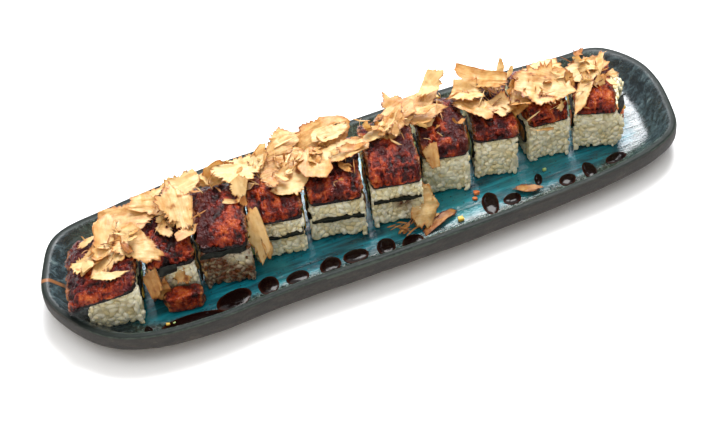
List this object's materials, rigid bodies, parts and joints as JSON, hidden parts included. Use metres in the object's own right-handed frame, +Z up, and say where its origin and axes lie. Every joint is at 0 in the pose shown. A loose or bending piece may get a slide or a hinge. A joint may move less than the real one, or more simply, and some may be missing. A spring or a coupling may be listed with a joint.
{
  "type": "uramaki roll",
  "caption": "Row of inside-out sushi slices with nori and filling inside, glazed eel and shaved bonito flakes on top, and drops of sauce on a long rimmed ceramic plate.",
  "frame": {"origin": "on the table under the middle of the plate", "axes": "+X along the plate and the row of slices, to the right as the guest sees it; -Y faces the guest; +Z up"},
  "size_m": [0.356, 0.106, 0.0623],
  "materials": {
    "glazed_plate": "gloss",
    "rice": "satin",
    "nori": "satin",
    "filling": "satin",
    "eel": "satin",
    "flakes": "matte"
  },
  "bodies": {
    "root": {"plate": "glazed_plate", "rice_01": "rice", "rice_02": "rice", "rice_03": "rice", "rice_04": "rice", "rice_05": "rice", "rice_06": "rice", "rice_07": "rice", "rice_08": "rice", "rice_09": "rice", "rice_10": "rice", "nori_01": "nori", "nori_02": "nori", "nori_03": "nori", "nori_04": "nori", "nori_05": "nori", "nori_06": "nori", "nori_07": "nori", "nori_08": "nori", "nori_09": "nori", "nori_10": "nori", "filling_01": "filling", "filling_02": "filling", "filling_03": "filling", "filling_04": "filling", "filling_05": "filling", "filling_06": "filling", "filling_07": "filling", "filling_08": "filling", "filling_09": "filling", "filling_10": "filling", "eel_01": "eel", "eel_02": "eel", "eel_03": "eel", "eel_04": "eel", "eel_05": "eel", "eel_06": "eel", "eel_07": "eel", "eel_08": "eel", "eel_09": "eel", "eel_10": "eel", "flakes_01": "flakes", "flakes_02": "flakes", "flakes_03": "flakes", "flakes_04": "flakes", "flakes_05": "flakes", "flakes_06": "flakes", "flakes_07": "flakes", "flakes_08": "flakes", "flakes_09": "flakes", "flakes_10": "flakes", "eel_slipped": "eel", "shreds_on_plate": "flakes", "flake_strip_left": "flakes", "flake_strip_right": "flakes"}
  },
  "joints": []
}
